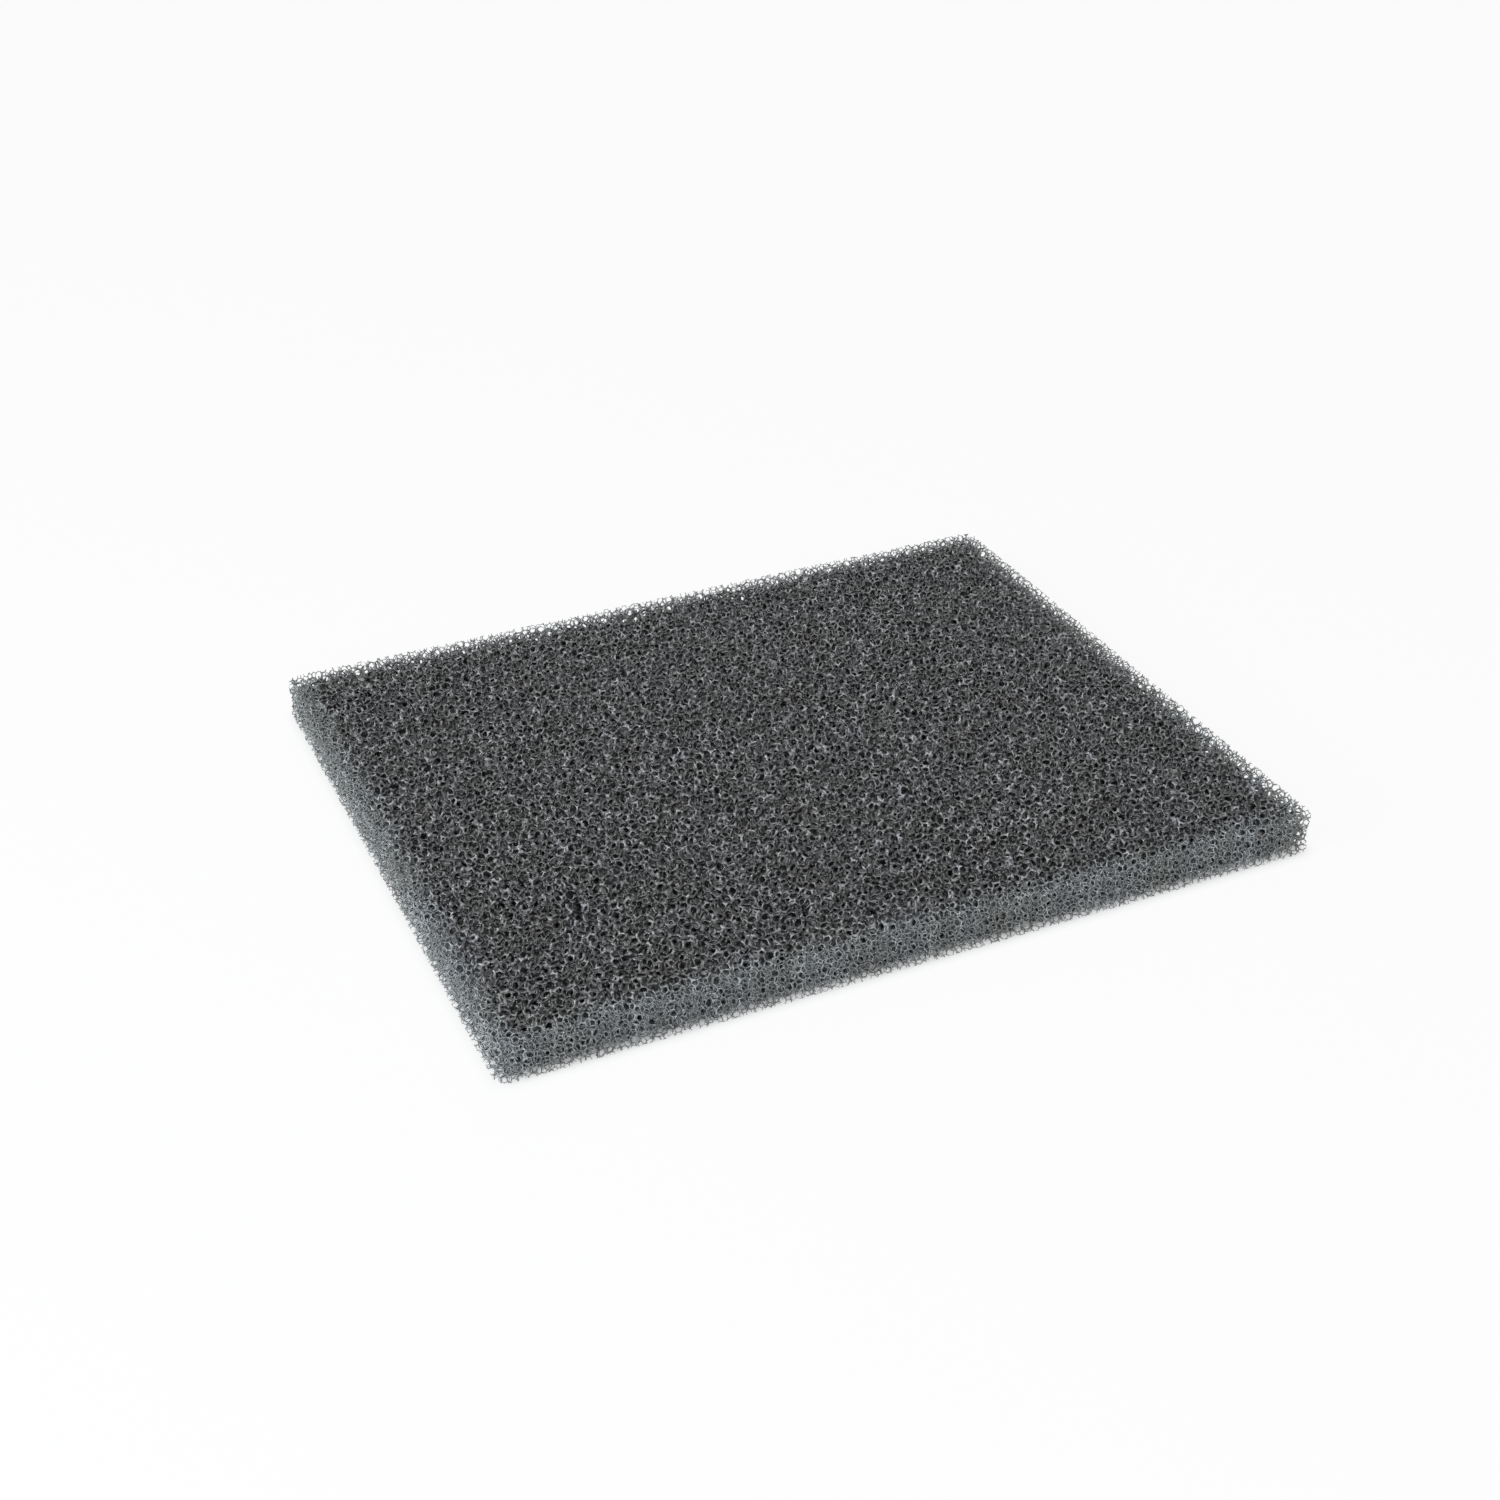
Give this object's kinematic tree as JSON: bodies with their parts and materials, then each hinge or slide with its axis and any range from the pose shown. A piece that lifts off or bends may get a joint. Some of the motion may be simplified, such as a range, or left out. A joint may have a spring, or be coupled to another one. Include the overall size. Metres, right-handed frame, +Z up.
{
  "type": "foam air filter element",
  "caption": "Flat rectangular pad of charcoal open-cell foam that cleans the intake air of a small engine, lying loose in an air cleaner on either face.",
  "frame": {"origin": "centre of the face that the pad lies on", "axes": "+X along the long side, +Y along the short side, +Z up through the thickness"},
  "size_m": [0.13, 0.105, 0.007],
  "materials": {
    "foam": "matte open-cell foam"
  },
  "bodies": {
    "root": {"foam_pad": "foam"}
  },
  "joints": []
}
